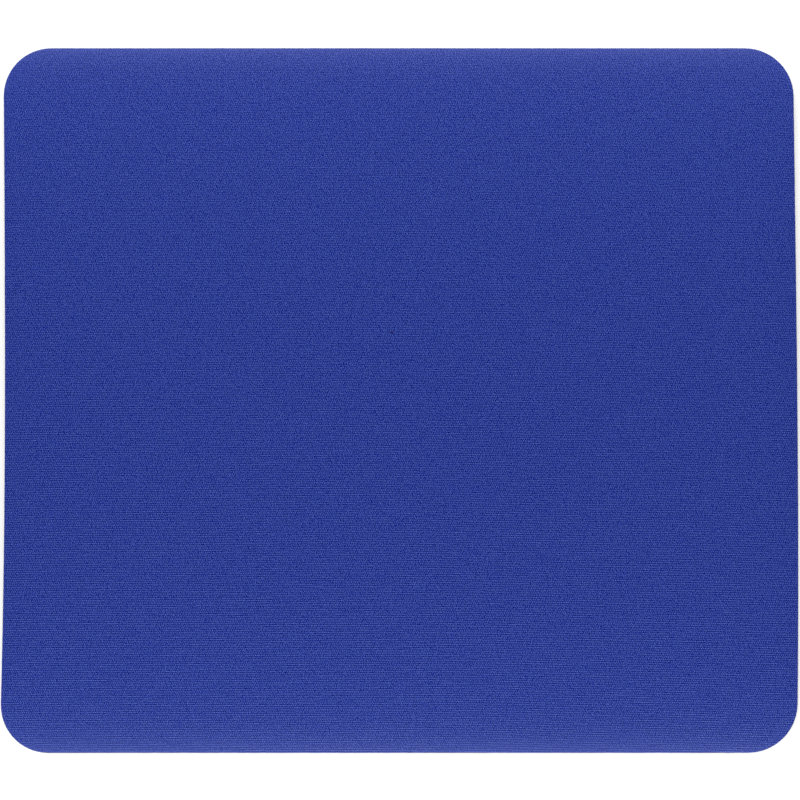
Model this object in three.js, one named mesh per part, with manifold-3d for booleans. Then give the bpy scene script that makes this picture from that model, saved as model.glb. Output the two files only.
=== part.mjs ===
import * as THREE from 'three';
import { mergeVertices } from 'three/addons/utils/BufferGeometryUtils.js';
import Module from 'manifold-3d';

// A cloth-topped sponge rubber mouse pad: four bonded sheets, cut to one outline by a single die.
// Millimetres. X runs along the long side, +Y towards the far side, Z up from the desk.

const wasm = await Module();
wasm.setup();

// Outline of the cut
const padWidth = 228.6; // along X, 9 in
const padDepth = 203.2; // along Y, 8 in
const cornerRadius = 14;
const tightestTurn = 0.5; // least radius left where a corner is drawn in
const cornerFacets = 9; // in a quarter turn

// Thickness of each sheet, from the top down
const clothThickness = 0.6;
const filmThickness = 0.15;
const spongeThickness = 4.5;
const skinThickness = 0.4; // over the grooves
const ribHeight = 0.35;

// Edge left by the die: the face rolls down to the cut and the sponge draws in below it
const shoulderWidth = 10;
const shoulderDrop = 0.9;
const shoulderFacets = 6;
const waistDepth = 0.45;
const waistFacets = 6;

// Ribs moulded under the non-slip skin
const ribPitch = 2;
const ribCrown = 1.1; // flat width that stands on the desk
const ribRoot = 1.5; // width where a rib leaves the skin
const cutOverrun = 1; // how far a cut runs past what it cuts

// Height of each joint between sheets, away from the edge
const skinTop = ribHeight + skinThickness;
const spongeTop = skinTop + spongeThickness;
const filmTop = spongeTop + filmThickness;
const clothTop = filmTop + clothThickness;

// One turn of the outline, anticlockwise seen from above, drawn in by inset
function outlineRing(inset, height) {
  const radius = Math.max(cornerRadius - inset, tightestTurn);
  const centreX = padWidth / 2 - inset - radius;
  const centreY = padDepth / 2 - inset - radius;
  const quarters = [[1, 1], [-1, 1], [-1, -1], [1, -1]];
  const ring = [];
  quarters.forEach(([sideX, sideY], quarter) => {
    for (let facet = 0; facet <= cornerFacets; facet += 1) {
      const angle = (quarter + facet / cornerFacets) * Math.PI / 2;
      ring.push(new THREE.Vector3(
        sideX * centreX + radius * Math.cos(angle),
        sideY * centreY + radius * Math.sin(angle),
        height,
      ));
    }
  });
  return ring;
}

// Face of a sheet as rings from the cut inwards: steep at the cut, flat at the end of the shoulder
function rolledFace(height) {
  const rings = [];
  for (let facet = 0; facet <= shoulderFacets; facet += 1) {
    const inShare = (facet / shoulderFacets) ** 1.5;
    const drop = shoulderDrop * (1 - inShare) ** 3;
    rings.push(outlineRing(shoulderWidth * inShare, height - drop));
  }
  return rings;
}

// Cut wall of the sponge between its faces, drawn in most at half its height
function waistedWall(upperHeight, lowerHeight) {
  const rings = [];
  for (let facet = 1; facet < waistFacets; facet += 1) {
    const downShare = facet / waistFacets;
    const inset = waistDepth * Math.sin(Math.PI * downShare);
    rings.push(outlineRing(inset, THREE.MathUtils.lerp(upperHeight, lowerHeight, downShare)));
  }
  return rings;
}

// Closed solid through a run of rings, from the innermost on top to the innermost underneath
function ringSolid(rings) {
  const count = rings[0].length;
  const faces = [];
  for (let row = 0; row < rings.length - 1; row += 1) {
    for (let i = 0; i < count; i += 1) {
      const next = (i + 1) % count;
      const above = row * count;
      const below = above + count;
      faces.push(above + i, below + i, below + next);
      faces.push(above + i, below + next, above + next);
    }
  }
  const last = (rings.length - 1) * count;
  for (let i = 1; i < count - 1; i += 1) {
    faces.push(0, i, i + 1);
    faces.push(last, last + i + 1, last + i);
  }
  const geometry = new THREE.BufferGeometry().setFromPoints(rings.flat());
  geometry.setIndex(faces);
  geometry.computeVertexNormals();
  return geometry;
}

// Sheet between an upper and a lower face, both given from the cut inwards
function sheet(upperFace, wall, lowerFace) {
  return ringSolid([...upperFace.toReversed(), ...wall, ...lowerFace]);
}

function toManifold(geometry) {
  const bare = geometry.clone();
  bare.deleteAttribute('normal');
  bare.deleteAttribute('uv');
  const merged = mergeVertices(bare);
  return new wasm.Manifold(new wasm.Mesh({
    numProp: 3,
    vertProperties: new Float32Array(merged.attributes.position.array),
    triVerts: new Uint32Array(merged.index.array),
  }));
}

function toGeometry(solid) {
  const cut = solid.getMesh();
  const geometry = new THREE.BufferGeometry();
  geometry.setAttribute('position', new THREE.BufferAttribute(cut.vertProperties, cut.numProp));
  geometry.setIndex(new THREE.BufferAttribute(cut.triVerts, 1));
  geometry.computeVertexNormals();
  return geometry;
}

// The grooves between the ribs, as bars along X with their mouths at the desk
function grooveBars() {
  const mouth = ribPitch - ribCrown;
  const root = ribPitch - ribRoot;
  const length = padWidth + 2 * cutOverrun;
  const edgeRib = ribCrown; // least width left beside the cut
  const perSide = Math.floor((padDepth / 2 - edgeRib - mouth / 2) / ribPitch + 1 / 2);
  const sections = [];
  for (let groove = -perSide; groove < perSide; groove += 1) {
    const centre = (groove + 1 / 2) * ribPitch;
    sections.push(new THREE.Shape([
      new THREE.Vector2(centre - mouth / 2, -cutOverrun),
      new THREE.Vector2(centre + mouth / 2, -cutOverrun),
      new THREE.Vector2(centre + mouth / 2, 0),
      new THREE.Vector2(centre + root / 2, ribHeight),
      new THREE.Vector2(centre - root / 2, ribHeight),
      new THREE.Vector2(centre - mouth / 2, 0),
    ]));
  }
  const bars = new THREE.ExtrudeGeometry(sections, { depth: length, bevelEnabled: false });
  const alongX = new THREE.Matrix4().makeBasis(
    new THREE.Vector3(0, 1, 0),
    new THREE.Vector3(0, 0, 1),
    new THREE.Vector3(1, 0, 0),
  );
  return bars.translate(0, 0, -length / 2).applyMatrix4(alongX);
}

// Non-slip skin: a flat sheet whose underside is grooved right through to the cut
function ribbedSkin() {
  const outline = outlineRing(0, 0).map((point) => new THREE.Vector2(point.x, point.y));
  const blank = new THREE.ExtrudeGeometry(new THREE.Shape(outline), { depth: skinTop, bevelEnabled: false });
  return toGeometry(toManifold(blank).subtract(toManifold(grooveBars())));
}

const finishes = {
  cloth: new THREE.MeshStandardMaterial({ color: '#2f4092', roughness: 0.92, metalness: 0 }),
  film: new THREE.MeshStandardMaterial({ color: '#8d8f96', roughness: 0.45, metalness: 0 }),
  sponge: new THREE.MeshStandardMaterial({ color: '#202022', roughness: 0.97, metalness: 0 }),
  skin: new THREE.MeshStandardMaterial({ color: '#161617', roughness: 0.8, metalness: 0 }),
};

const pad = new THREE.Group();
pad.name = 'mouse_pad';

function addSheet(name, geometry, finish) {
  const mesh = new THREE.Mesh(geometry, finish);
  mesh.name = name;
  pad.add(mesh);
}

const clothFace = rolledFace(clothTop);
const clothBack = rolledFace(filmTop);
const spongeFace = rolledFace(spongeTop);
const spongeBack = [outlineRing(0, skinTop)];
const spongeWall = waistedWall(spongeTop - shoulderDrop, skinTop);

addSheet('cloth_top', sheet(clothFace, [], clothBack), finishes.cloth);
addSheet('adhesive_film', sheet(clothBack, [], spongeFace), finishes.film);
addSheet('sponge_base', sheet(spongeFace, spongeWall, spongeBack), finishes.sponge);
addSheet('grip_skin', ribbedSkin(), finishes.skin);

export default pad;
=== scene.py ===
import math
from functools import partial
import bpy
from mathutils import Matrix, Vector, noise


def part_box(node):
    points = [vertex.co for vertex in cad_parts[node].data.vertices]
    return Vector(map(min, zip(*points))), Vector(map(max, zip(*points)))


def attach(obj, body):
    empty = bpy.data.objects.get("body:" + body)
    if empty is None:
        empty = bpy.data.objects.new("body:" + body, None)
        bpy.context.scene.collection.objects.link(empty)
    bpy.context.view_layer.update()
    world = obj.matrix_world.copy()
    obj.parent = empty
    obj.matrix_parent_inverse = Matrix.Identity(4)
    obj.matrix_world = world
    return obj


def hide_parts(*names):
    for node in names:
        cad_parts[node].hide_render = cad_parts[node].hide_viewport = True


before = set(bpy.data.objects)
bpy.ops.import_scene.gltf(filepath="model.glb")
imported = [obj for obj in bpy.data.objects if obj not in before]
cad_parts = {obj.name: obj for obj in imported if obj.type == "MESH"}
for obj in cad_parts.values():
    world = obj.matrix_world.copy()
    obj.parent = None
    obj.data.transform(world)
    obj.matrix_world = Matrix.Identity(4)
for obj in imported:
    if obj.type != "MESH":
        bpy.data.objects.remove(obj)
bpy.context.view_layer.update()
mm = 0.001

print("stage: sizes from the frame")
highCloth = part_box("cloth_top")[1]
lowFilm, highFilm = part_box("adhesive_film")
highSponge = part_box("sponge_base")[1]
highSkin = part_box("grip_skin")[1]
halfWidth, halfDepth = highCloth.x, highCloth.y
rimDrop = highSponge.z - lowFilm.z  # how far the face has rolled down at the cut

# the die cut, shared by all four sheets
dieCut = {
    "cornerRadius": 14 * mm,
    "shoulderWidth": 10 * mm,  # the face starts to roll down this far inside the cut
    "waist": 0.45 * mm,  # the sponge draws in by this at half its height
}

# how the soft pad lies on the desk, read off the photograph
padLie = {
    "bow": 0.84 * mm,  # its middle lies this far to the right of its ends
    "bowSkew": -0.36 * mm,  # more of that at the near end than at the far end
    "drawnIn": 0.17 * mm,  # each side, at the middle
    "swell": 0.014,  # share by which the sponge is thicker here and thinner there
    "swellSize": 62 * mm,
}


def toCut(x, y):
    r = dieCut["cornerRadius"]
    acrossX, acrossY = abs(x) - (halfWidth - r), abs(y) - (halfDepth - r)
    beyond = math.hypot(max(acrossX, 0), max(acrossY, 0))
    return r - beyond - min(max(acrossX, acrossY), 0)  # distance in from the cut


def roll(inFromCut):
    left = max(1 - inFromCut / dieCut["shoulderWidth"], 0)
    return rimDrop * left**3


def rollAt(x, y):
    return roll(max(toCut(x, y), 0))


def settle(p):  # a point of the straight pad, moved to where the soft one lies
    t = p.y / halfDepth
    middle = 1 - t * t
    side = p.x / halfWidth
    x = p.x + middle * (padLie["bow"] + padLie["bowSkew"] * t - padLie["drawnIn"] * side)
    swell = noise.noise(Vector((p.x, p.y, 0)) / padLie["swellSize"])
    return Vector((x, p.y, p.z * (1 + padLie["swell"] * swell)))


def makePiece(name, points, faces, materials, faceSlots=None, smooth=True):
    mesh = bpy.data.meshes.new(name)
    mesh.from_pydata([settle(p) for p in points], [], faces)
    for material in materials:
        mesh.materials.append(material)
    mesh.polygons.foreach_set("use_smooth", [smooth] * len(mesh.polygons))
    if faceSlots:
        mesh.polygons.foreach_set("material_index", faceSlots)
    mesh.update()
    piece = bpy.data.objects.new(name, mesh)
    bpy.context.scene.collection.objects.link(piece)
    return piece


# small helpers for node trees
def calc(tree, operation, *values):
    node = tree.nodes.new("ShaderNodeMath")
    node.operation = operation
    for socket, value in zip(node.inputs, values):
        feed(tree, socket, value)
    return node.outputs[0]


def feed(tree, socket, value):
    if isinstance(value, bpy.types.NodeSocket):
        tree.links.new(value, socket)
    else:
        socket.default_value = value


def span(tree, value, fromLow, fromHigh, toLow=0.0, toHigh=1.0, smooth=False):
    node = tree.nodes.new("ShaderNodeMapRange")
    node.interpolation_type = "SMOOTHSTEP" if smooth else "LINEAR"
    for name, number in (
        ("Value", value), ("From Min", fromLow), ("From Max", fromHigh),
        ("To Min", toLow), ("To Max", toHigh),
    ):
        feed(tree, node.inputs[name], number)
    return node.outputs["Result"]


def blendColour(tree, share, first, second):
    node = tree.nodes.new("ShaderNodeMix")
    node.data_type = "RGBA"
    feed(tree, node.inputs["Factor"], share)
    feed(tree, node.inputs[6], first)  # the two colour sockets
    feed(tree, node.inputs[7], second)
    return node.outputs[2]


def grainOf(tree, vector, scale, detail):
    node = tree.nodes.new("ShaderNodeTexNoise")
    feed(tree, node.inputs["Vector"], vector)
    feed(tree, node.inputs["Scale"], scale)
    feed(tree, node.inputs["Detail"], detail)
    return node.outputs["Fac"]


def flatNoise(tree, x, y):  # one smooth octave in the plane
    spot = tree.nodes.new("ShaderNodeCombineXYZ")
    feed(tree, spot.inputs["X"], x)
    feed(tree, spot.inputs["Y"], y)
    node = tree.nodes.new("ShaderNodeTexNoise")
    node.noise_dimensions = "2D"
    tree.links.new(spot.outputs["Vector"], node.inputs["Vector"])
    node.inputs["Scale"].default_value = 1.0
    node.inputs["Detail"].default_value = 0.0
    return node.outputs["Fac"]


def newGroup(name, inputs, outputs):
    group = bpy.data.node_groups.new(name, "ShaderNodeTree")
    for label, kind, value in inputs:
        socket = group.interface.new_socket(label, in_out="INPUT", socket_type=kind)
        if value is not None:
            socket.default_value = value
    for label, kind in outputs:
        group.interface.new_socket(label, in_out="OUTPUT", socket_type=kind)
    return group, group.nodes.new("NodeGroupInput").outputs, group.nodes.new("NodeGroupOutput").inputs


def place(tree, group, values):
    node = tree.nodes.new("ShaderNodeGroup")
    node.node_tree = group
    for label, value in values.items():
        feed(tree, node.inputs[label], value)
    return node.outputs


def newMaterial(name, settings):
    material = bpy.data.materials.new(name)
    material.use_nodes = True
    tree = material.node_tree
    shader = tree.nodes["Principled BSDF"]
    for label, value in settings.items():
        shader.inputs[label].default_value = value
    spot = tree.nodes.new("ShaderNodeTexCoord")
    toMm = tree.nodes.new("ShaderNodeMapping")
    toMm.inputs["Scale"].default_value = (1 / mm,) * 3
    tree.links.new(spot.outputs["Object"], toMm.inputs["Vector"])
    return material, tree, shader, toMm.outputs["Vector"]


def bump(tree, shader, height, distance):
    node = tree.nodes.new("ShaderNodeBump")
    node.inputs["Distance"].default_value = distance
    tree.links.new(height, node.inputs["Height"])
    tree.links.new(node.outputs["Normal"], shader.inputs["Normal"])


print("stage: shared shader groups")

# how a knit strays from its even grid
knitDrift = {
    "size": 55,  # millimetres over which rows and columns wander
    "rowStart": 3.3,
    "stitchStart": 41.7,
    "slackRun": 2.5,  # stitches over which one row keeps its shift
    "tightRun": 10,  # stitches over which a gap between rows keeps its depth
    "tight": 1.2,
    "rowStep": 1.37,  # sets the noise of one row apart from the next
    "fibreStep": 13.7,
    "thinEnds": 0.6,  # a stitch fades by this towards the next row
}


# rows of leaning stitches, each row shifted against the last; every output swings about zero
def buildStitchGroup():
    group, given, put = newGroup(
        "staggered stitches",
        [
            ("Vector", "NodeSocketVector", None),
            ("Stitch Pitch", "NodeSocketFloat", 0.6),
            ("Row Pitch", "NodeSocketFloat", 0.65),
            ("Stagger", "NodeSocketFloat", 0.5),
            ("Stagger Gain", "NodeSocketFloat", 0.0),
            ("Lean", "NodeSocketFloat", 0.0),
            ("Row Tilt", "NodeSocketFloat", 0.0),
            ("Row Bend", "NodeSocketFloat", 0.0),
            ("Bend Reach", "NodeSocketFloat", 20.0),
            ("Row Stretch", "NodeSocketFloat", 0.0),
            ("Stitch Squeeze", "NodeSocketFloat", 0.0),
            ("Row Drift", "NodeSocketFloat", 0.3),
            ("Stitch Drift", "NodeSocketFloat", 0.3),
            ("Slack", "NodeSocketFloat", 0.2),
            ("Fibre Width", "NodeSocketFloat", 0.12),
            ("Fibre Length", "NodeSocketFloat", 0.22),
        ],
        [("Stitch", "NodeSocketFloat"), ("Row", "NodeSocketFloat"), ("Fibre", "NodeSocketFloat"),
         ("Yarn", "NodeSocketFloat")],
    )
    drift = knitDrift
    run = partial(calc, group)

    def wave(value):
        return run("COSINE", run("MULTIPLY", value, 2 * math.pi))

    def waver(x, y):  # smooth noise from -1 to 1
        return run("MULTIPLY_ADD", flatNoise(group, x, y), 2.0, -1.0)

    spot = group.nodes.new("ShaderNodeSeparateXYZ")
    feed(group, spot.inputs["Vector"], given["Vector"])
    x, y = spot.outputs["X"], spot.outputs["Y"]
    squareX = run("MULTIPLY", x, x)
    bend = run("SQRT", run("MULTIPLY_ADD", given["Bend Reach"], given["Bend Reach"], squareX))
    sunk = run("MULTIPLY_ADD", bend, given["Row Bend"], run("MULTIPLY", x, given["Row Tilt"]))
    stretch = run("MULTIPLY", run("MULTIPLY", y, y), given["Row Stretch"])
    height = run("SUBTRACT", run("ADD", y, sunk), stretch)
    width = run("MULTIPLY", x, run("MULTIPLY_ADD", squareX, given["Stitch Squeeze"], 1.0))

    farX, farY = run("DIVIDE", x, drift["size"]), run("DIVIDE", y, drift["size"])
    rowDrift = waver(run("ADD", farX, drift["rowStart"]), farY)
    row = run("ADD", run("DIVIDE", height, given["Row Pitch"]),
              run("MULTIPLY", rowDrift, given["Row Drift"]))
    stitchDrift = waver(run("ADD", farX, drift["stitchStart"]), farY)
    across = run("ADD", run("DIVIDE", width, given["Stitch Pitch"]),
                 run("MULTIPLY", stitchDrift, given["Stitch Drift"]))

    number = run("FLOOR", row)
    up = run("SUBTRACT", run("SUBTRACT", row, number), 0.5)
    slack = waver(run("DIVIDE", across, drift["slackRun"]), run("MULTIPLY", number, drift["rowStep"]))
    stagger = run("MULTIPLY_ADD", number, given["Stagger Gain"], given["Stagger"])
    along = run("ADD", across, run("MULTIPLY", slack, given["Slack"]))
    along = run("SUBTRACT", along, run("MULTIPLY", number, stagger))
    along = run("SUBTRACT", along, run("MULTIPLY", up, given["Lean"]))
    stitch = run("FLOOR", along)
    side = run("SUBTRACT", run("SUBTRACT", along, stitch), 0.5)

    fade = run("MULTIPLY", run("MULTIPLY", up, up), 4 * drift["thinEnds"])  # up goes from -0.5 to 0.5
    group.links.new(run("MULTIPLY", wave(side), run("SUBTRACT", 1.0, fade)), put["Stitch"])
    tight = waver(run("DIVIDE", across, drift["tightRun"]), run("MULTIPLY", number, drift["rowStep"]))
    tight = run("MULTIPLY_ADD", tight, drift["tight"], 1.0)
    group.links.new(run("MULTIPLY", wave(up), tight), put["Row"])

    fibreX = run("MULTIPLY_ADD", stitch, drift["fibreStep"],
                 run("DIVIDE", run("MULTIPLY", side, given["Stitch Pitch"]), given["Fibre Width"]))
    fibreY = run("MULTIPLY_ADD", number, drift["fibreStep"],
                 run("DIVIDE", run("MULTIPLY", up, given["Row Pitch"]), given["Fibre Length"]))
    group.links.new(waver(fibreX, fibreY), put["Fibre"])

    # a stitch is two legs, each in two halves, and a half stands out by its tone less that of its neighbours
    halfX, halfY = run("FLOOR", run("MULTIPLY", along, 2.0)), run("FLOOR", run("MULTIPLY", row, 2.0))

    def yarnTone(stepX, stepY):
        cell = group.nodes.new("ShaderNodeCombineXYZ")
        group.links.new(run("ADD", halfX, stepX), cell.inputs["X"])
        group.links.new(run("ADD", halfY, stepY), cell.inputs["Y"])
        chance = group.nodes.new("ShaderNodeTexWhiteNoise")
        chance.noise_dimensions = "2D"
        group.links.new(cell.outputs["Vector"], chance.inputs["Vector"])
        return chance.outputs["Value"]

    neighbours = ((1.0, 0.0), (-1.0, 0.0), (0.0, 1.0), (0.0, -1.0))
    right, left, above, below = [yarnTone(*steps) for steps in neighbours]
    beside = run("ADD", run("ADD", right, left), run("ADD", above, below))
    mean = run("MULTIPLY", beside, 1 / len(neighbours))
    group.links.new(run("SUBTRACT", yarnTone(0.0, 0.0), mean), put["Yarn"])
    return group


# pale specks of lint and dust
def buildDustGroup():
    group, given, put = newGroup(
        "dust specks",
        [
            ("Vector", "NodeSocketVector", None),
            ("Spacing", "NodeSocketFloat", 4.0),
            ("Size", "NodeSocketFloat", 0.1),
            ("Share", "NodeSocketFloat", 0.2),
        ],
        [("Mask", "NodeSocketFloat")],
    )
    cells = group.nodes.new("ShaderNodeTexVoronoi")
    feed(group, cells.inputs["Vector"], given["Vector"])
    feed(group, cells.inputs["Scale"], calc(group, "DIVIDE", 1.0, given["Spacing"]))
    away = calc(group, "MULTIPLY", cells.outputs["Distance"], given["Spacing"])
    inside = calc(group, "LESS_THAN", away, given["Size"])
    split = group.nodes.new("ShaderNodeSeparateColor")
    group.links.new(cells.outputs["Color"], split.inputs["Color"])
    kept = calc(group, "LESS_THAN", split.outputs["Red"], given["Share"])
    group.links.new(calc(group, "MULTIPLY", inside, kept), put["Mask"])
    return group


grainDetail = {"fine": 1.0, "coarse": 3.0}  # octaves of noise


# fine grain and broader mottling, for yarn, film, sponge and rubber
def buildGrainGroup():
    group, given, put = newGroup(
        "fine grain",
        [
            ("Vector", "NodeSocketVector", None),
            ("Fine", "NodeSocketFloat", 4.0),
            ("Coarse", "NodeSocketFloat", 0.2),
        ],
        [("Fine", "NodeSocketFloat"), ("Coarse", "NodeSocketFloat")],
    )
    for label, detail in (("Fine", grainDetail["fine"]), ("Coarse", grainDetail["coarse"])):
        group.links.new(grainOf(group, given["Vector"], given[label], detail), put[label])
    return group


stitchGroup = buildStitchGroup()
dustGroup = buildDustGroup()
grainGroup = buildGrainGroup()

# the royal-blue knit
royalKnit = {
    "gap": (0.0, 0.003, 0.080, 1),  # painted shade between the stitches
    "yarn": (0.0, 0.0130, 0.272, 1),
    "paintedGlint": (0.110, 0.166, 0.545, 1),  # painted highlight on the crown of a fibre
    "level": 0.425,  # where the tones lie between the painted shade of the gaps and the painted glints
    "opened": (0.20, 0.22, 0.36, 1),  # painted sheen, paler and whiter towards the cuts along the rows
    "paintedSheenAtCut": 0.11,
    "paintedSheenReach": 4.0,
    "openedFar": 0.022,  # a faint rest of the painted sheen further in
    "openedFarReach": 24.0,
    "lint": (0.012, 0.008, 0.050, 1),
    "lintAt": (-1.8, 19.05),  # millimetres from the middle
    "lintSize": (0.55, 0.34),
    "lintEdge": (0.6, 1.3),  # shares of its size between which it fades out
    "lintCover": 0.8,
    "stitchPitch": 0.6146,  # millimetres along a row, at the middle of the pad
    "stitchSqueeze": 8.6e-7,  # stitches lie closer towards both sides
    "rowPitch": 0.6660,
    "rowStretch": 1.5e-4,  # rows lie wider apart towards the far side
    "rowTilt": 0.0065,  # rows run down to the right by this slope, at the middle
    "rowBend": 0.0115,  # more of it on the right, less on the left
    "nearBendShare": 1.1,  # and less of both towards the far side
    "farBendShare": 0.3,
    "bendReach": 20,
    "stagger": 0.438,  # share of a stitch that each row is shifted by
    "staggerGain": 8.7e-5,
    "farLean": 0.12,
    "nearLean": -0.28,
    "rowDrift": 0.3,
    "stitchDrift": 0.3,
    "slack": 0.2,
    "fibreWidth": 0.12,
    "fibreLength": 0.18,
    "farStitchDepth": 0.209,
    "nearStitchDepth": 0.271,
    "farRowDepth": 0.08,  # rows stand out more towards the near side
    "nearRowDepth": 0.253,
    "fibreDepth": 1.10,
    "yarnDepth": 0.32,
    "fineDepth": 0.61,
    "fineSize": 0.14,  # millimetres, as the fibre's width and length are
    "specular": 0.01,
    "roughness": (0.98, 0.86),  # in the gaps of painted shade and on the painted glints
    "relief": 0.02 * mm,
}


# the stitches and their tone, from 0 in a gap of painted shade to 1 on a painted glint
def knitTone(tree, spot, x, y):
    v = royalKnit
    run = partial(calc, tree)
    farEnd = halfDepth / mm

    def nearToFar(near, far):
        return span(tree, y, -farEnd, farEnd, near, far)

    bendShare = nearToFar(v["nearBendShare"], v["farBendShare"])
    knit = place(tree, stitchGroup, {
        "Vector": spot, "Stitch Pitch": v["stitchPitch"], "Stitch Squeeze": v["stitchSqueeze"],
        "Row Pitch": v["rowPitch"], "Row Stretch": v["rowStretch"], "Bend Reach": v["bendReach"],
        "Row Tilt": run("MULTIPLY", bendShare, v["rowTilt"]),
        "Row Bend": run("MULTIPLY", bendShare, v["rowBend"]),
        "Stagger": v["stagger"], "Stagger Gain": v["staggerGain"],
        "Lean": nearToFar(v["nearLean"], v["farLean"]),
        "Row Drift": v["rowDrift"], "Stitch Drift": v["stitchDrift"], "Slack": v["slack"],
        "Fibre Width": v["fibreWidth"], "Fibre Length": v["fibreLength"],
    })
    fine = flatNoise(tree, run("DIVIDE", x, v["fineSize"]), run("DIVIDE", y, v["fineSize"]))
    tone = run("MULTIPLY_ADD", run("SUBTRACT", fine, 0.5), 2 * v["fineDepth"], v["level"])
    for part, depth in (
        ("Stitch", nearToFar(v["nearStitchDepth"], v["farStitchDepth"])),
        ("Row", nearToFar(v["nearRowDepth"], v["farRowDepth"])),
        ("Fibre", v["fibreDepth"]),
        ("Yarn", v["yarnDepth"]),
    ):
        tone = run("MULTIPLY_ADD", knit[part], depth, tone)
    return knit, tone


# how much painted sheen the knit takes, fading inwards from the far and near cuts
def paintedSheenAtEnds(tree, y):
    v = royalKnit
    fromCut = calc(tree, "SUBTRACT", halfDepth / mm, calc(tree, "ABSOLUTE", y))
    opened = 0.0
    for amount, reach in ((v["paintedSheenAtCut"], v["paintedSheenReach"]), (v["openedFar"], v["openedFarReach"])):
        fading = calc(tree, "EXPONENT", calc(tree, "DIVIDE", fromCut, -reach))
        opened = calc(tree, "MULTIPLY_ADD", fading, amount, opened)
    return opened


def lintSpeck(tree, x, y):
    v = royalKnit
    run = partial(calc, tree)
    offX, offY = [run("DIVIDE", run("SUBTRACT", along, at), size)
                  for along, at, size in zip((x, y), v["lintAt"], v["lintSize"])]
    away = run("SQRT", run("ADD", run("MULTIPLY", offX, offX), run("MULTIPLY", offY, offY)))
    return span(tree, away, *v["lintEdge"], v["lintCover"], 0.0, smooth=True)


def makeRoyalKnit():
    v = royalKnit
    material, tree, shader, spot = newMaterial("royal knit", {"Specular IOR Level": v["specular"]})
    face = tree.nodes.new("ShaderNodeSeparateXYZ")
    tree.links.new(spot, face.inputs["Vector"])
    x, y = face.outputs["X"], face.outputs["Y"]
    knit, tone = knitTone(tree, spot, x, y)
    # the tone runs from painted shade in the gaps through the yarn's own blue to painted highlights on the
    # fibres
    ramp = tree.nodes.new("ShaderNodeValToRGB")
    tree.links.new(tone, ramp.inputs["Fac"])
    middle = ramp.color_ramp.elements.new(0.5)
    ramp.color_ramp.elements[0].color, middle.color = v["gap"], v["yarn"]
    ramp.color_ramp.elements[-1].color = v["paintedGlint"]
    # painted sheen: the knit turns paler and whiter towards the far and near cuts
    colour = blendColour(tree, paintedSheenAtEnds(tree, y), ramp.outputs["Color"], v["opened"])
    colour = blendColour(tree, lintSpeck(tree, x, y), colour, v["lint"])
    tree.links.new(colour, shader.inputs["Base Color"])
    feed(tree, shader.inputs["Roughness"], span(tree, tone, 0.0, 1.0, *v["roughness"]))
    bump(tree, shader, knit["Stitch"], v["relief"])
    return material


noiseSwing = (0.3, 0.7)  # a noise seldom strays outside this

# a finish of two tones in fine grain; grain sizes are per millimetre
cutYarn = {
    "dark": (0.010, 0.020, 0.130, 1),
    "pale": (0.085, 0.130, 0.450, 1),
    "fine": 5.0,
    "coarse": 0.5,
    "specular": 0.1,
    "roughness": (0.85, 1.0),
    "relief": 0.1 * mm,
}

bondFilm = {
    "dark": (0.050, 0.054, 0.070, 1),
    "pale": (0.180, 0.188, 0.220, 1),
    "fine": 2.0,
    "coarse": 0.3,
    "specular": 0.4,
    "roughness": (0.3, 0.6),
    "relief": 0.03 * mm,
}

spongeCells = {
    "dark": (0.016, 0.016, 0.017, 1),
    "pale": (0.044, 0.044, 0.046, 1),
    # painted shade inside the pits of the cut cells
    "paintedPitShade": (0.003, 0.003, 0.004, 1),
    "crumb": (0.15, 0.15, 0.16, 1),
    "fine": 6.0,
    "coarse": 0.7,
    "specular": 0.25,
    "roughness": (0.85, 1.0),
    "relief": 0.12 * mm,
    "cells": 2.6,  # per millimetre
    "cellSizes": (0.25, 1.35),
    "pitEdge": (0.1, 0.5),
    "crumbs": {"Spacing": 1.1, "Size": 0.10, "Share": 0.22},
}

mouldedSkin = {
    "dark": (0.010, 0.010, 0.011, 1),
    "pale": (0.026, 0.026, 0.027, 1),
    "lint": (0.22, 0.22, 0.22, 1),
    "fine": 5.0,
    "coarse": 0.05,
    "specular": 0.4,
    "roughness": (0.55, 0.85),
    "relief": 0.04 * mm,
    "dust": {"Spacing": 6.0, "Size": 0.18, "Share": 0.3},
}


def startFinish(name, v):
    material, tree, shader, spot = newMaterial(name, {"Specular IOR Level": v["specular"]})
    grain = place(tree, grainGroup, {"Vector": spot, "Fine": v["fine"], "Coarse": v["coarse"]})
    feed(tree, shader.inputs["Roughness"], span(tree, grain["Fine"], *noiseSwing, *v["roughness"]))
    return material, tree, shader, spot, grain


def makeCutYarn():
    v = cutYarn
    material, tree, shader, _, grain = startFinish("cut yarn", v)
    tone = blendColour(tree, span(tree, grain["Fine"], *noiseSwing), v["dark"], v["pale"])
    tree.links.new(tone, shader.inputs["Base Color"])
    bump(tree, shader, grain["Fine"], v["relief"])
    return material


def makeBondFilm():
    v = bondFilm
    material, tree, shader, _, grain = startFinish("bonding film", v)
    tree.links.new(blendColour(tree, grain["Coarse"], v["dark"], v["pale"]), shader.inputs["Base Color"])
    bump(tree, shader, grain["Fine"], v["relief"])
    return material


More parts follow.
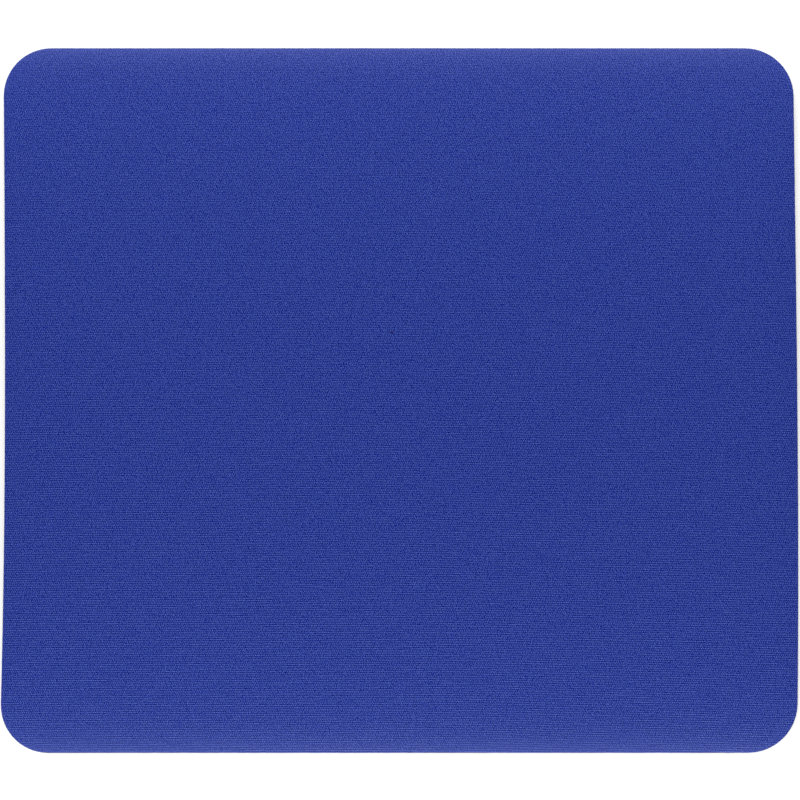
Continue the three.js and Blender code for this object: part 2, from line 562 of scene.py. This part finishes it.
# cut cells of many sizes in mottled rubber, their pits painted dark as shade, with a few pale crumbs
def makeSpongeCells():
    v = spongeCells
    material, tree, shader, spot, grain = startFinish("sponge cells", v)
    cells = tree.nodes.new("ShaderNodeTexVoronoi")
    feed(tree, cells.inputs["Vector"], spot)
    cells.inputs["Scale"].default_value = v["cells"]
    chance = tree.nodes.new("ShaderNodeSeparateColor")
    tree.links.new(cells.outputs["Color"], chance.inputs["Color"])
    size = span(tree, chance.outputs["Red"], 0, 1, *v["cellSizes"])
    solid = span(tree, calc(tree, "DIVIDE", cells.outputs["Distance"], size), *v["pitEdge"])
    tone = blendColour(tree, span(tree, grain["Coarse"], *noiseSwing), v["dark"], v["pale"])
    crumbs = place(tree, dustGroup, {"Vector": spot, **v["crumbs"]})["Mask"]
    tone = blendColour(tree, crumbs, tone, v["crumb"])
    # the pits of the cells take the painted shade
    tree.links.new(blendColour(tree, solid, v["paintedPitShade"], tone), shader.inputs["Base Color"])
    bump(tree, shader, solid, v["relief"])
    return material


def makeMouldedSkin():
    v = mouldedSkin
    material, tree, shader, spot, grain = startFinish("moulded skin", v)
    tone = blendColour(tree, grain["Coarse"], v["dark"], v["pale"])
    dust = place(tree, dustGroup, {"Vector": spot, **v["dust"]})["Mask"]
    tree.links.new(blendColour(tree, dust, tone, v["lint"]), shader.inputs["Base Color"])
    bump(tree, shader, grain["Fine"], v["relief"])
    return material


# the photographer's camera, nearly straight above
photoCamera = {
    "distance": 1.0,  # metres
    "lens": 156.25,  # millimetres, as the sensor is
    "sensor": 36,
    "tilt": math.radians(2.85),  # it leans in from the near side
    "aimX": 0.51 * mm,
    "aimY": -0.38 * mm,
}


def makeCamera():
    v = photoCamera
    camera = bpy.data.objects.new("photo camera", bpy.data.cameras.new("photo camera"))
    bpy.context.scene.collection.objects.link(camera)
    camera.data.lens = v["lens"]
    camera.data.sensor_width = v["sensor"]
    aim = Vector((v["aimX"], v["aimY"], highCloth.z - rimDrop))
    camera.location = aim + Vector((0, -math.sin(v["tilt"]), math.cos(v["tilt"]))) * v["distance"]
    camera.rotation_euler = (v["tilt"], 0, 0)
    bpy.context.scene.camera = camera


# soft boxes: place, aim, size and watts
studio = {
    "worldLevel": 0.55,
    "overhead": {"at": (-0.1, 0.15, 0.9), "aim": (0, 0, 0), "size": (0.9, 0.9), "watts": 4.4},
    "farStrip": {"at": (0, 0.16, 0.03), "aim": (0, 0.05, 0), "size": (0.5, 0.04), "watts": 0.16},
    "nearStrip": {"at": (0, -0.16, 0.03), "aim": (0, -0.05, 0), "size": (0.5, 0.04), "watts": 0.165},
}


def seenAsBackground(tree):
    path = tree.nodes.new("ShaderNodeLightPath").outputs
    seen = calc(tree, "MAXIMUM", path["Is Glossy Ray"], path["Is Transmission Ray"])
    return calc(tree, "MAXIMUM", path["Is Camera Ray"], seen)


def makeStudio():
    world = bpy.data.worlds.new("studio")
    bpy.context.scene.world = world
    world.use_nodes = True
    tree = world.node_tree
    level = span(tree, seenAsBackground(tree), 0.0, 1.0, studio["worldLevel"], 1.0)
    tree.links.new(level, tree.nodes["Background"].inputs["Strength"])
    tree.nodes["Background"].inputs["Color"].default_value = (1, 1, 1, 1)
    for name in ("overhead", "farStrip", "nearStrip"):
        v = studio[name]
        lamp = bpy.data.objects.new(name, bpy.data.lights.new(name, "AREA"))
        bpy.context.scene.collection.objects.link(lamp)
        lamp.data.shape = "RECTANGLE"
        lamp.data.size, lamp.data.size_y = v["size"]
        lamp.data.energy = v["watts"]
        lamp.location = v["at"]
        lamp.rotation_euler = (Vector(v["aim"]) - Vector(v["at"])).to_track_quat("-Z", "Y").to_euler()
        lamp.visible_camera = False


paperFloor = {
    "half": 2.5,  # metres from the middle to each side
    "height": -0.02 * mm,  # a hair below the studs, so that no two faces lie in one plane
    "colour": (0.86, 0.86, 0.86, 1),
    "roughness": 0.9,
    "specular": 0.1,
    "nearGlow": 0.3,  # as the camera sees it; low here, so that the shadow shows
    "farGlow": 0.8,
    "nearReach": 200,  # millimetres from the middle
    "farReach": 900,
}


def makeFloor():
    v = paperFloor
    material, tree, shader, spot = newMaterial("paper floor", {
        "Base Color": v["colour"], "Roughness": v["roughness"], "Specular IOR Level": v["specular"],
        "Emission Color": (1, 1, 1, 1),
    })
    away = tree.nodes.new("ShaderNodeVectorMath")
    away.operation = "LENGTH"
    tree.links.new(spot, away.inputs[0])
    glow = span(tree, away.outputs["Value"], v["nearReach"], v["farReach"], v["nearGlow"], v["farGlow"])
    tree.links.new(calc(tree, "MULTIPLY", glow, seenAsBackground(tree)), shader.inputs["Emission Strength"])
    corners = [(x * v["half"], y * v["half"], v["height"]) for x, y in ((-1, -1), (1, -1), (1, 1), (-1, 1))]
    mesh = bpy.data.meshes.new("paper floor")
    mesh.from_pydata(corners, [], [(0, 1, 2, 3)])
    mesh.materials.append(material)
    floor = bpy.data.objects.new("paper_floor", mesh)
    bpy.context.scene.collection.objects.link(floor)


print("stage: camera, light and floor")
bpy.context.scene.view_settings.view_transform = "Standard"
makeCamera()
makeStudio()
makeFloor()

clothFace = {
    "gridStep": 1.5 * mm,
    "rimRound": 0.14 * mm,  # the cut edge of the knit is pressed round by this much
    "rimRoundReach": 0.35 * mm,
    "insets": (0, 0.08, 0.2, 0.4, 0.7, 1.1, 1.7, 2.5, 3.5, 4.7, 6.1, 7.7, 9.5, 11.6),  # millimetres
    "bulge": 0.03 * mm,
    "unevenness": 0.04 * mm,
    "unevenSize": 1.1 * mm,
}


def gridLines(half, step, insets):  # (side, share of the corner radius, place) of each line
    r = dieCut["cornerRadius"]
    inner = half - r
    count = round(2 * inner / step)
    strip = [(1 - inset * mm / r, inner + r - inset * mm) for inset in insets]
    low = [(-1, share, -at) for share, at in strip]
    middle = [(0, 0, -inner + 2 * inner * i / count) for i in range(count + 1)]
    return low + middle + [(1, share, at) for share, at in reversed(strip)]


def cutGrid(step, insets):
    r = dieCut["cornerRadius"]
    across, down = gridLines(halfWidth, step, insets), gridLines(halfDepth, step, insets)
    spots = []
    for sideY, shareY, y in down:
        for sideX, shareX, x in across:
            if sideX and sideY:  # the square of lines is bent into the round corner
                cornerX = halfWidth - r + r * shareX * math.sqrt(1 - shareY**2 / 2)
                cornerY = halfDepth - r + r * shareY * math.sqrt(1 - shareX**2 / 2)
                spots.append((sideX * cornerX, sideY * cornerY))
            else:
                spots.append((x, y))
    wide, tall = len(across), len(down)
    quads = [
        (j * wide + i, j * wide + i + 1, (j + 1) * wide + i + 1, (j + 1) * wide + i)
        for j in range(tall - 1) for i in range(wide - 1)
    ]
    near = list(range(wide - 1))
    right = [j * wide + wide - 1 for j in range(tall - 1)]
    far = [(tall - 1) * wide + i for i in range(wide - 1, 0, -1)]
    left = [j * wide for j in range(tall - 1, 0, -1)]
    return spots, quads, near + right + far + left


# a closed sheet between two heights, with its cut wall bulged a little, more here and less there
def closedSheet(spots, quads, rim, topOf, underOf, v):
    count = len(spots)
    points = [Vector((x, y, topOf(x, y))) for x, y in spots]
    points += [Vector((x, y, underOf(x, y))) for x, y in spots]
    faces = list(quads) + [tuple(count + i for i in reversed(q)) for q in quads]
    wallStart = len(points)
    for i in rim:
        x, y = spots[i]
        uneven = noise.noise(Vector((x, y, 0)) / v["unevenSize"])
        out = outward(x, y) * (v["bulge"] + v["unevenness"] * uneven)
        points.append(Vector((x + out.x, y + out.y, (topOf(x, y) + underOf(x, y)) / 2)))
    for n, i in enumerate(rim):
        after = (n + 1) % len(rim)
        faces.append((i, wallStart + n, wallStart + after, rim[after]))
        faces.append((wallStart + n, count + i, count + rim[after], wallStart + after))
    slots = [0] * len(quads) + [1] * (len(faces) - len(quads))
    return points, faces, slots


def outward(x, y):
    r = dieCut["cornerRadius"]
    away = Vector((max(abs(x) - (halfWidth - r), 0), max(abs(y) - (halfDepth - r), 0)))
    away = Vector((math.copysign(away.x, x), math.copysign(away.y, y)))
    return away.normalized() if away.length > 0 else Vector((0, 0))


def makeClothFace(cutYarnFinish):
    v = clothFace
    spots, quads, rim = cutGrid(v["gridStep"], v["insets"])

    def top(x, y):
        inside = max(toCut(x, y), 0)
        return highCloth.z - roll(inside) - v["rimRound"] * math.exp(-inside / v["rimRoundReach"])

    def under(x, y):
        return highFilm.z - rollAt(x, y)

    points, faces, slots = closedSheet(spots, quads, rim, top, under, v)
    cloth = makePiece("knit_cloth_face", points, faces, [makeRoyalKnit(), cutYarnFinish], slots)
    mapForBake(cloth, spots, len(quads), len(rim))
    return cloth


bakeMap = {
    "name": "OFBake",  # the map that the finishes are baked through
    "edge": 0.01,  # share of the picture left free at its edges
    "under": (0.90, 0.94),  # strips of the picture for the hidden underside and for the cut wall
    "wall": (0.96, 0.98),
}


# nearly all of the baked picture goes to the face that is seen
def mapForBake(cloth, spots, quadCount, rimCount):
    v = bakeMap
    across = 1 - 2 * v["edge"]
    corners = []
    for face in cloth.data.polygons:
        if face.index < 2 * quadCount:
            for i in face.vertices:
                x, y = spots[i % len(spots)]
                up = (y + halfDepth) / (2 * halfDepth)
                high = v["edge"] + across * up * halfDepth / halfWidth
                if face.index >= quadCount:
                    high = v["under"][0] + up * (v["under"][1] - v["under"][0])
                corners += (v["edge"] + across * (x + halfWidth) / (2 * halfWidth), high)
        else:
            n, lower = divmod(face.index - 2 * quadCount, 2)
            step = (v["wall"][1] - v["wall"][0]) / 2
            start = v["wall"][0] + lower * step
            left, right = n / rimCount, (n + 1) / rimCount
            for along, down in ((left, 0), (left, step), (right, step), (right, 0)):
                corners += (v["edge"] + across * along, start + down)
    cloth.data.uv_layers.new(name=v["name"]).data.foreach_set("uv", corners)


# the bonding film, squeezed out a little along the cut
filmSheet = {
    "gridStep": 4.5 * mm,
    "gap": 0.004 * mm,
    "bulge": 0.05 * mm,
    "unevenness": 0.08 * mm,
    "unevenSize": 2.5 * mm,
}


def makeFilm():
    v = filmSheet
    spots, quads, rim = cutGrid(v["gridStep"], clothFace["insets"])

    def top(x, y):
        return highFilm.z - rollAt(x, y) - v["gap"]

    def under(x, y):
        return highSponge.z - rollAt(x, y) + v["gap"]

    points, faces, _ = closedSheet(spots, quads, rim, top, under, v)
    return makePiece("bonding_film_sheet", points, faces, [makeBondFilm()])


spongeSheet = {
    "alongStep": 0.42 * mm,
    "wallRows": 13,
    "poreSize": 0.62 * mm,
    "poreShare": 0.45,  # of a cell's size
    "poreDepth": 0.22 * mm,
    "rollRings": (0.5, 1.2, 2.2, 3.6, 5.4, 7.6, 10.0),  # millimetres in from the cut
}


# places along the cut outline, about a step apart, with the way out at each
def walkOutline(step):
    r = dieCut["cornerRadius"]
    straightX, straightY = 2 * (halfWidth - r), 2 * (halfDepth - r)
    arc = math.pi * r / 2
    whole = 2 * straightX + 2 * straightY + 4 * arc
    count = round(whole / step)
    legs = []
    for quarter, (sideX, sideY) in enumerate(((1, 1), (-1, 1), (-1, -1), (1, -1))):
        centre = Vector((sideX * (halfWidth - r), sideY * (halfDepth - r)))
        straight = straightX if quarter % 2 == 0 else straightY
        legs.append(("arc", arc, centre, quarter * math.pi / 2))
        legs.append(("side", straight, centre, (quarter + 1) * math.pi / 2))
    walk = []
    for n in range(count):
        left = whole * n / count
        for kind, length, centre, angle in legs:
            if left < length:
                break
            left -= length
        turn = angle + (left / r if kind == "arc" else 0)
        out = Vector((math.cos(turn), math.sin(turn)))
        along = Vector((-out.y, out.x)) * (left if kind == "side" else 0)
        walk.append((centre + out * r + along, out))
    return walk


def ringFaces(rings, count):  # walls between rings of so many points, and a face over each end
    faces = []
    for row in range(rings - 1):
        upper, lower = row * count, (row + 1) * count
        for n in range(count):
            after = (n + 1) % count
            faces.append((upper + n, lower + n, lower + after, upper + after))
    last = (rings - 1) * count
    return faces + [tuple(range(count)), tuple(last + n for n in reversed(range(count)))]


def makeSponge():
    v = spongeSheet
    walk = walkOutline(v["alongStep"])
    rimTop = highSponge.z - rimDrop
    rings = [[Vector((*(p - out * inset * mm), highSponge.z - roll(inset * mm))) for p, out in walk]
             for inset in reversed(v["rollRings"])]
    for row in range(v["wallRows"] + 1):
        share = row / v["wallRows"]
        z = rimTop + (highSkin.z - rimTop) * share
        ring = []
        for p, out in walk:
            inset = dieCut["waist"] * math.sin(math.pi * share)
            if 0 < row < v["wallRows"]:
                cell = noise.voronoi(Vector((p.x, p.y, z)) / v["poreSize"])[0][0]
                inset += v["poreDepth"] * math.sqrt(max(0, 1 - cell / v["poreShare"]))
            ring.append(Vector((*(p - out * inset), z)))
        rings.append(ring)
    points = [p for ring in rings for p in ring]
    faces = ringFaces(len(rings), len(walk))
    return makePiece("sponge_rubber_sheet", points, faces, [makeSpongeCells()])


gripSkin = {
    "pitch": 2.0 * mm,
    "crown": 1.1 * mm,
    "root": 1.5 * mm,
    "height": 0.35 * mm,
    "clear": 1.3 * mm,  # no stud stands nearer to the cut than this
    "edgeStep": 1.0 * mm,
}


def makeSkinSheet(material):
    v = gripSkin
    walk = walkOutline(v["edgeStep"])
    levels = (highSkin.z, (highSkin.z + v["height"]) / 2, v["height"])
    points = [Vector((p.x, p.y, z)) for z in levels for p, _ in walk]
    faces = ringFaces(len(levels), len(walk))
    return makePiece("moulded_grip_skin", points, faces, [material], smooth=False)


def geoNode(tree, kind, values=(), **settings):
    node = tree.nodes.new(kind)
    for key, value in settings.items():
        setattr(node, key, value)
    for label, value in dict(values).items():
        feed(tree, node.inputs[label], value)
    return node


def newGeoTree(name, inputs):
    tree = bpy.data.node_groups.new(name, "GeometryNodeTree")
    tree.interface.new_socket("Geometry", in_out="INPUT", socket_type="NodeSocketGeometry")
    for label, kind in inputs:
        tree.interface.new_socket(label, in_out="INPUT", socket_type=kind)
    tree.interface.new_socket("Geometry", in_out="OUTPUT", socket_type="NodeSocketGeometry")
    return tree, tree.nodes.new("NodeGroupInput").outputs, tree.nodes.new("NodeGroupOutput").inputs


def growWith(piece, tree, values):
    modifier = piece.modifiers.new(tree.name, "NODES")
    modifier.node_group = tree
    for item in tree.interface.items_tree:
        if item.in_out == "INPUT" and item.name in values:
            modifier[item.identifier] = values[item.name]
    bpy.context.view_layer.update()
    grown = bpy.data.meshes.new_from_object(piece.evaluated_get(bpy.context.evaluated_depsgraph_get()))
    piece.modifiers.remove(modifier)
    old = piece.data
    piece.data = grown
    bpy.data.meshes.remove(old)


def realAndPainted(tree, copies, material):  # the copies as one plain mesh in their material
    solid = geoNode(tree, "GeometryNodeRealizeInstances", {"Geometry": copies.outputs[0]})
    return geoNode(tree, "GeometryNodeSetMaterial", {
        "Geometry": solid.outputs[0], "Material": material,
    }).outputs[0]


# square studs in rows and columns over the underside, clear of the cut
def studTree():
    tree, given, put = newGeoTree("waffle studs", [
        ("Pitch", "NodeSocketFloat"), ("Crown", "NodeSocketFloat"), ("Root", "NodeSocketFloat"),
        ("Height", "NodeSocketFloat"), ("Half Width", "NodeSocketFloat"), ("Half Depth", "NodeSocketFloat"),
        ("Corner", "NodeSocketFloat"), ("Clear", "NodeSocketFloat"), ("Material", "NodeSocketMaterial"),
    ])
    run = partial(calc, tree)

    def countOver(half):  # one in the middle, and as many on each side as fit
        return run("MULTIPLY_ADD", run("FLOOR", run("DIVIDE", half, given["Pitch"])), 2.0, 1.0)

    countX, countY = countOver(given["Half Width"]), countOver(given["Half Depth"])
    grid = geoNode(tree, "GeometryNodeMeshGrid", {
        "Size X": run("MULTIPLY", run("SUBTRACT", countX, 1.0), given["Pitch"]),
        "Size Y": run("MULTIPLY", run("SUBTRACT", countY, 1.0), given["Pitch"]),
        "Vertices X": countX, "Vertices Y": countY,
    })
    position = tree.nodes.new("GeometryNodeInputPosition").outputs[0]
    spot = geoNode(tree, "ShaderNodeSeparateXYZ", {"Vector": position})

    def pastStraight(axis, half):  # how far past the straight stretch of the outline
        straight = run("SUBTRACT", half, given["Corner"])
        return run("MAXIMUM", run("SUBTRACT", run("ABSOLUTE", spot.outputs[axis]), straight), 0.0)

    pastX, pastY = pastStraight("X", given["Half Width"]), pastStraight("Y", given["Half Depth"])
    past = run("SQRT", run("ADD", run("MULTIPLY", pastX, pastX), run("MULTIPLY", pastY, pastY)))
    over = run("GREATER_THAN", past, run("SUBTRACT", given["Corner"], given["Clear"]))
    kept = geoNode(tree, "GeometryNodeDeleteGeometry", {
        "Geometry": grid.outputs["Mesh"], "Selection": over,
    })
    stud = geoNode(tree, "GeometryNodeMeshCone", {
        "Vertices": 4, "Depth": given["Height"],
        "Radius Top": run("DIVIDE", given["Crown"], math.sqrt(2)),  # from the side of a square to its corner
        "Radius Bottom": run("DIVIDE", given["Root"], math.sqrt(2)),
    })
    turned = geoNode(tree, "GeometryNodeTransform", {
        "Geometry": stud.outputs["Mesh"], "Rotation": (math.pi, 0, math.pi / 4),
    })
    raised = geoNode(tree, "ShaderNodeCombineXYZ", {"Z": given["Height"]})
    placed = geoNode(tree, "GeometryNodeSetPosition", {
        "Geometry": kept.outputs[0], "Offset": raised.outputs[0],
    })
    studs = geoNode(tree, "GeometryNodeInstanceOnPoints", {
        "Points": placed.outputs[0], "Instance": turned.outputs[0],
    })
    both = tree.nodes.new("GeometryNodeJoinGeometry")
    tree.links.new(realAndPainted(tree, studs, given["Material"]), both.inputs[0])
    tree.links.new(given["Geometry"], both.inputs[0])
    tree.links.new(both.outputs[0], put["Geometry"])
    return tree


def makeGripSkin():
    v = gripSkin
    material = makeMouldedSkin()
    skin = makeSkinSheet(material)
    growWith(skin, studTree(), {
        "Pitch": v["pitch"], "Crown": v["crown"], "Root": v["root"], "Height": v["height"],
        "Half Width": halfWidth, "Half Depth": halfDepth, "Corner": dieCut["cornerRadius"],
        "Clear": v["clear"], "Material": material,
    })
    return skin


# ends of cut yarn along the rim of the cloth
yarnEnds = {
    "outlineStep": 1.0 * mm,  # of the line that they grow from
    "spacing": 0.2 * mm,
    "length": 0.42 * mm,
    "smallest": 0.5,  # share of full size that the smallest end has
    "thick": 0.06 * mm,
    "tip": 0.5,  # share of its thickness that is left at the tip
    "rooted": 0.12 * mm,  # each end starts this far inside the cut
    "spread": 0.16 * mm,  # up and down
    "scatter": 0.8,  # how far they turn from straight out
    "seed": 7,
}


# short ends that stick out of a line, each turned its own way
def yarnEndTree():
    tree, given, put = newGeoTree("cut yarn ends", [
        ("Spacing", "NodeSocketFloat"), ("Length", "NodeSocketFloat"), ("Thick", "NodeSocketFloat"),
        ("Rooted", "NodeSocketFloat"), ("Spread", "NodeSocketFloat"), ("Scatter", "NodeSocketFloat"),
        ("Tip", "NodeSocketFloat"), ("Smallest", "NodeSocketFloat"),
        ("Seed", "NodeSocketInt"), ("Material", "NodeSocketMaterial"),
    ])
    run = partial(calc, tree)

    def vectors(operation, *values):
        node = geoNode(tree, "ShaderNodeVectorMath", operation=operation)
        for socket, value in zip(node.inputs, values):
            feed(tree, socket, value)
        return node.outputs["Vector"]

    def chance(step, low, high, kind="FLOAT"):
        node = geoNode(tree, "FunctionNodeRandomValue", data_type=kind)
        first = 0 if kind == "FLOAT_VECTOR" else 2
        feed(tree, node.inputs[first], low)
        feed(tree, node.inputs[first + 1], high)
        feed(tree, node.inputs["Seed"], run("ADD", given["Seed"], step))
        return node.outputs[0 if kind == "FLOAT_VECTOR" else 1]

    line = geoNode(tree, "GeometryNodeMeshToCurve", {"Mesh": given["Geometry"]})
    steps = geoNode(tree, "GeometryNodeResampleCurve", {"Curve": line.outputs[0]}, mode="LENGTH")
    feed(tree, steps.inputs["Length"], given["Spacing"])
    tangent = tree.nodes.new("GeometryNodeInputTangent").outputs[0]
    out = vectors("CROSS_PRODUCT", tangent, (0, 0, 1))
    back = geoNode(tree, "ShaderNodeVectorMath", operation="SCALE")
    feed(tree, back.inputs[0], out)
    feed(tree, back.inputs["Scale"], run("MULTIPLY", given["Rooted"], -1.0))
    lift = geoNode(tree, "ShaderNodeCombineXYZ", {
        "Z": chance(1, run("MULTIPLY", given["Spread"], -1.0), given["Spread"]),
    })
    placed = geoNode(tree, "GeometryNodeSetPosition", {
        "Geometry": steps.outputs[0], "Offset": vectors("ADD", back.outputs["Vector"], lift.outputs[0]),
    })
    astray = geoNode(tree, "ShaderNodeVectorMath", operation="SCALE")
    feed(tree, astray.inputs[0], chance(2, (-1, -1, -1), (1, 1, 1), "FLOAT_VECTOR"))
    feed(tree, astray.inputs["Scale"], given["Scatter"])
    turned = geoNode(tree, "FunctionNodeAlignRotationToVector", {
        "Vector": vectors("ADD", out, astray.outputs["Vector"]),
    }, axis="Z")
    radius = run("MULTIPLY", given["Thick"], 0.5)
    end = geoNode(tree, "GeometryNodeMeshCone", {
        "Vertices": 3, "Radius Top": run("MULTIPLY", radius, given["Tip"]),
        "Radius Bottom": radius, "Depth": given["Length"],
    })
    ends = geoNode(tree, "GeometryNodeInstanceOnPoints", {
        "Points": placed.outputs[0], "Instance": end.outputs[0], "Rotation": turned.outputs[0],
        "Scale": chance(3, given["Smallest"], 1.0),
    })
    tree.links.new(realAndPainted(tree, ends, given["Material"]), put["Geometry"])
    return tree


def makeYarnEnds(cutYarnFinish):
    v = yarnEnds
    middle = (highFilm.z + highCloth.z - clothFace["rimRound"]) / 2 - rimDrop
    walk = walkOutline(v["outlineStep"])
    mesh = bpy.data.meshes.new("cut_yarn_ends")
    edges = [(n, (n + 1) % len(walk)) for n in range(len(walk))]
    mesh.from_pydata([settle(Vector((*p, middle))) for p, _ in walk], edges, [])
    ends = bpy.data.objects.new("cut_yarn_ends", mesh)
    bpy.context.scene.collection.objects.link(ends)
    growWith(ends, yarnEndTree(), {
        "Spacing": v["spacing"], "Length": v["length"], "Thick": v["thick"], "Tip": v["tip"],
        "Smallest": v["smallest"], "Rooted": v["rooted"], "Spread": v["spread"], "Scatter": v["scatter"],
        "Seed": v["seed"], "Material": cutYarnFinish,
    })
    return ends


print("stage: cloth face")
cutYarnFinish = makeCutYarn()
clothPiece = makeClothFace(cutYarnFinish)
print("stage: bonding film")
filmPiece = makeFilm()
print("stage: sponge sheet")
spongePiece = makeSponge()
print("stage: moulded skin and its studs")
skinPiece = makeGripSkin()
print("stage: yarn ends along the cut")
endsPiece = makeYarnEnds(cutYarnFinish)

for piece, node, slot in (
    (clothPiece, "cloth_top", "cloth"),
    (filmPiece, "adhesive_film", "film"),
    (spongePiece, "sponge_base", "sponge"),
    (skinPiece, "grip_skin", "skin"),
):
    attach(piece, "root")
    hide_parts(node)
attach(endsPiece, "root")
